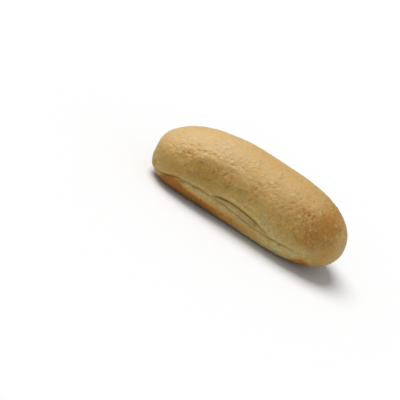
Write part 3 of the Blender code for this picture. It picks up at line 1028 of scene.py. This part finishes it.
def make_smooth_bun():
    """A sphere drawn out into the smooth bun: the mesh, and for each vertex its u and its place."""
    bm = bmesh.new()
    lying = Matrix.Rotation(math.radians(90.0), 4, "Y")
    bmesh.ops.create_uvsphere(bm, u_segments=ROWS, v_segments=RINGS, radius=1.0, matrix=lying)
    mesh = bpy.data.meshes.new("crust")
    bm.to_mesh(mesh)
    bm.free()

    on_sphere = vertex_vectors(mesh, "co")
    u = np.clip(on_sphere[:, 0], -1.0, 1.0)
    u = u - RING_EVENNESS * u * (1.0 - u ** 2)
    turn = np.arctan2(on_sphere[:, 2], on_sphere[:, 1]) / (2.0 * math.pi)
    row = np.mod(np.rint(turn * ROWS), ROWS)
    y, z = section_point(u, row_angle(u, row))
    points = np.column_stack((LENGTH / 2 * u, y, z))
    place_vertices(mesh, points)
    return mesh, u, points


def add_shares(mesh, u, points, relief_light_and_shade):
    """How much of each colour, painted light and painted shade shows, kept at every vertex for the
    material.
    """
    x, y, z = points.T
    level = full_level(u, z)
    front = y < sway(u)
    soft_front = smooth((sway(u) - y) / FRONT_RUN + 0.5)
    dark_knots = -KNOT_SHADE * knot_relief(points)
    shares = {
        # browning with the fold's painted shade, less the painted highlight and shade of the small
        # relief
        "bake_and_shading": bake_and_fold_shade_share(x, level, soft_front) - relief_light_and_shade,
        "gold": gold_share(level),
        "olive": soft_front * np.clip(patches(x, level, OLIVE_PLACES), 0.0, 1.0),
        "peach": soft_front * np.clip(patches(x, level, PEACH_PLACES), 0.0, 1.0),
        "cream": cream_share(x, level, front),
        # pale places, partly painted light on the strip and along the base
        "pale_and_lit": front * np.clip(patches(x, level, PALE_AND_LIT_PLACES), 0.0, 1.0),
        "rim": rim_share(x, z, soft_front),
        "crease": np.maximum(crease_share(x, level, front), dark_knots),
    }
    for name, values in shares.items():
        attribute = mesh.attributes.new(name, "FLOAT", "POINT")
        attribute.data.foreach_set("value", values.astype(np.float32))


def make_bun():
    """The bun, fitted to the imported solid's box, and where its middle was before that."""
    mesh, u, points = make_smooth_bun()
    normals = vertex_vectors(mesh, "normal")
    lift, relief_light_and_shade = relief(u, points)
    add_shares(mesh, u, points, relief_light_and_shade)

    sag = lip_sag(u, points)
    points += normals * lift[:, None]
    points[:, 2] -= sag
    points[:, 2] = np.maximum(points[:, 2], 0.0)
    lowest = points.min(axis=0)
    highest = points.max(axis=0)
    box = np.array(HIGH) - np.array(LOW)
    place_vertices(mesh, np.array(LOW) + (points - lowest) * box / (highest - lowest))
    mesh.shade_smooth()
    mesh.materials.append(make_crust_material())
    bun = bpy.data.objects.new("crust", mesh)
    bpy.context.scene.collection.objects.link(bun)
    return bun, (lowest + highest) / 2


def make_camera(middle):
    """The camera of the photograph: middle is the bun's, before it was fitted to its box."""
    azimuth = math.radians(CAMERA_AZIMUTH)
    elevation = math.radians(CAMERA_ELEVATION)
    roll = math.radians(CAMERA_ROLL)
    back = Vector((
        math.sin(azimuth) * math.cos(elevation),
        -math.cos(azimuth) * math.cos(elevation),
        math.sin(elevation),
    ))
    level_right = Vector((math.cos(azimuth), math.sin(azimuth), 0.0))
    level_up = back.cross(level_right)
    right = math.cos(roll) * level_right + math.sin(roll) * level_up
    up = back.cross(right)
    centre = Vector((-middle[0], -middle[1], HEIGHT / 2))
    aim = centre - BUN_RIGHT_OF_MIDDLE * right - BUN_ABOVE_MIDDLE * up
    camera = bpy.data.objects.new("camera", bpy.data.cameras.new("camera"))
    camera.data.sensor_width = SENSOR
    camera.data.lens = LENS
    camera.location = aim + CAMERA_DISTANCE * back
    camera.rotation_mode = "QUATERNION"
    camera.rotation_quaternion = Matrix((right, up, back)).transposed().to_quaternion()
    bpy.context.scene.collection.objects.link(camera)
    bpy.context.scene.camera = camera


def make_light(name, direction, spread, strength):
    """A soft, distant light."""
    data = bpy.data.lights.new(name, "SUN")
    data.angle = math.radians(spread)
    data.energy = strength
    light = bpy.data.objects.new(name, data)
    direction = Vector(direction).normalized()
    light.location = direction
    light.rotation_mode = "QUATERNION"
    light.rotation_quaternion = direction.to_track_quat("Z", "Y")
    bpy.context.scene.collection.objects.link(light)


def make_floor():
    mesh = bpy.data.meshes.new("floor")
    bm = bmesh.new()
    bmesh.ops.create_grid(bm, x_segments=1, y_segments=1, size=FLOOR_REACH)
    bm.to_mesh(mesh)
    bm.free()
    material = bpy.data.materials.new("floor_paint")
    material.use_nodes = True
    shader = material.node_tree.nodes["Principled BSDF"]
    shader.inputs["Base Color"].default_value = FLOOR_COLOUR
    shader.inputs["Roughness"].default_value = FLOOR_ROUGHNESS
    shader.inputs["Specular IOR Level"].default_value = 0.0
    mesh.materials.append(material)
    floor = bpy.data.objects.new("floor", mesh)
    floor.location = (0.0, 0.0, -FLOOR_DROP)
    bpy.context.scene.collection.objects.link(floor)
    return floor


def make_world():
    world = bpy.data.worlds.new("studio")
    world.use_nodes = True
    background = world.node_tree.nodes["Background"]
    background.inputs["Color"].default_value = WHITE
    background.inputs["Strength"].default_value = STUDIO_STRENGTH
    bpy.context.scene.world = world


def main():
    bun, middle = make_bun()
    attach(bun, "root")
    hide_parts(NODE)
    make_floor()
    make_camera(middle)
    make_world()
    for name, direction, spread, strength in LIGHTS:
        make_light(name, direction, spread, strength)
    bpy.context.scene.view_settings.view_transform = "Standard"


main()
